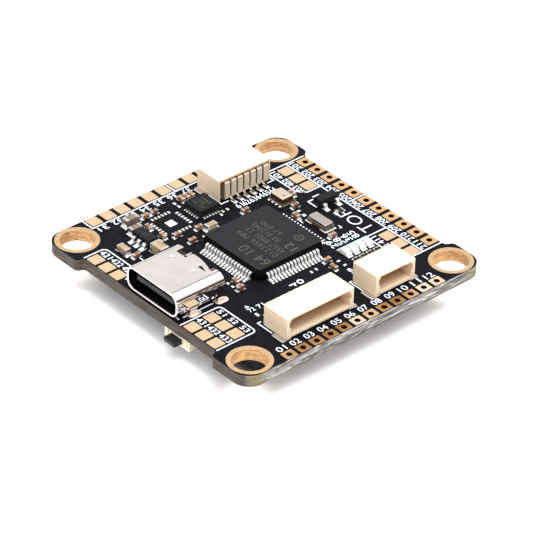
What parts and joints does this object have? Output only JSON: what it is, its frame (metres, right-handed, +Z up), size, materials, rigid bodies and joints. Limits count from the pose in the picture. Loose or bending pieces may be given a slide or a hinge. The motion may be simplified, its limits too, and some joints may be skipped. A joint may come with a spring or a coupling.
{
  "type": "flight controller board",
  "caption": "Square multirotor flight controller board with plated corner holes, side-entry headers, a USB-C receptacle and a side-push boot button.",
  "frame": {"origin": "centre of the four mounting holes, on the underside of the board", "axes": "+Z up through the board on the micro-controller side; -Y is the edge with the USB receptacle; +X is the edge with the column of twelve through-plated pads"},
  "size_m": [0.036, 0.036, 0.0077],
  "materials": {
    "laminate": "cut glass-epoxy edge, satin",
    "solder_mask": "black mask, semi-gloss",
    "gold_plating": "soft gold plating over copper",
    "tinned_copper": "bright tinned",
    "tinned_lead": "matt tin plating",
    "contact_metal": "plated spring metal",
    "chip_epoxy": "fine-grained moulding compound",
    "ivory_nylon": "satin ivory nylon",
    "sensor_laminate": "cut laminate",
    "lid_metal": "satin nickel lid",
    "ceramic": "fired ceramic",
    "capacitor_ceramic": "fired ceramic, satin",
    "resistor_glaze": "glass glaze",
    "ferrite_moulding": "moulded iron powder",
    "led_base": "white laminate",
    "led_lens": "clear epoxy over phosphor",
    "nickel_shell": "drawn and nickel plated",
    "black_plastic": "glass-filled, satin",
    "cream_plastic": "satin cream nylon"
  },
  "bodies": {
    "board": {"back_row_pads": "gold_plating", "barometer_base": "sensor_laminate", "barometer_lid": "lid_metal", "battery_pads": "gold_plating", "boot_switch_cover": "lid_metal", "boot_switch_dome": "contact_metal", "boot_switch_housing": "cream_plastic", "boot_switch_terminals": "tinned_lead", "chip_lands": "tinned_copper", "converter_chips_body": "chip_epoxy", "converter_chips_leads": "tinned_lead", "crystal_base": "ceramic", "crystal_lid": "lid_metal", "fine_pitch_lands": "tinned_copper", "flash_chip_body": "chip_epoxy", "flash_chip_leads": "tinned_lead", "gyro_body": "chip_epoxy", "gyro_leads": "tinned_lead", "header_4pin_contacts": "contact_metal", "header_4pin_housing": "ivory_nylon", "header_6pin_contacts": "contact_metal", "header_6pin_housing": "ivory_nylon", "header_8pin_contacts": "contact_metal", "header_8pin_housing": "ivory_nylon", "header_fixing_clips": "tinned_lead", "inductor_bodies": "ferrite_moulding", "inductor_terminals": "tinned_lead", "laminate": "laminate", "large_capacitor_bodies": "capacitor_ceramic", "large_capacitor_caps": "tinned_lead", "led_bank_pads": "gold_plating", "left_row_pads": "gold_plating", "lower_solder_mask": "solder_mask", "mcu_body": "chip_epoxy", "mcu_leads": "tinned_lead", "mounting_hole_rings": "gold_plating", "osd_chip_body": "chip_epoxy", "osd_chip_leads": "tinned_lead", "regulator_body": "chip_epoxy", "regulator_leads": "tinned_lead", "resistor_bodies": "resistor_glaze", "resistor_caps": "tinned_lead", "side_row_pads": "gold_plating", "small_capacitor_bodies": "capacitor_ceramic", "small_capacitor_caps": "tinned_lead", "status_led_bases": "led_base", "status_led_lenses": "led_lens", "transistor_body": "chip_epoxy", "transistor_leads": "tinned_lead", "underside_capacitor_bodies": "capacitor_ceramic", "underside_capacitor_caps": "tinned_lead", "underside_lands": "tinned_copper", "underside_resistor_bodies": "resistor_glaze", "underside_resistor_caps": "tinned_lead", "upper_solder_mask": "solder_mask", "usb_anchor_pads": "tinned_copper", "usb_contacts": "contact_metal", "usb_moulding": "black_plastic", "usb_shell": "nickel_shell"},
    "boot_button": {"boot_button": "black_plastic"}
  },
  "joints": [
    {"name": "boot_button_press", "type": "slide", "parent": "board", "child": "boot_button", "axis": [0, 1, 0], "range_m": [0, 0.00025], "stiffness_N_per_m": 6400}
  ]
}
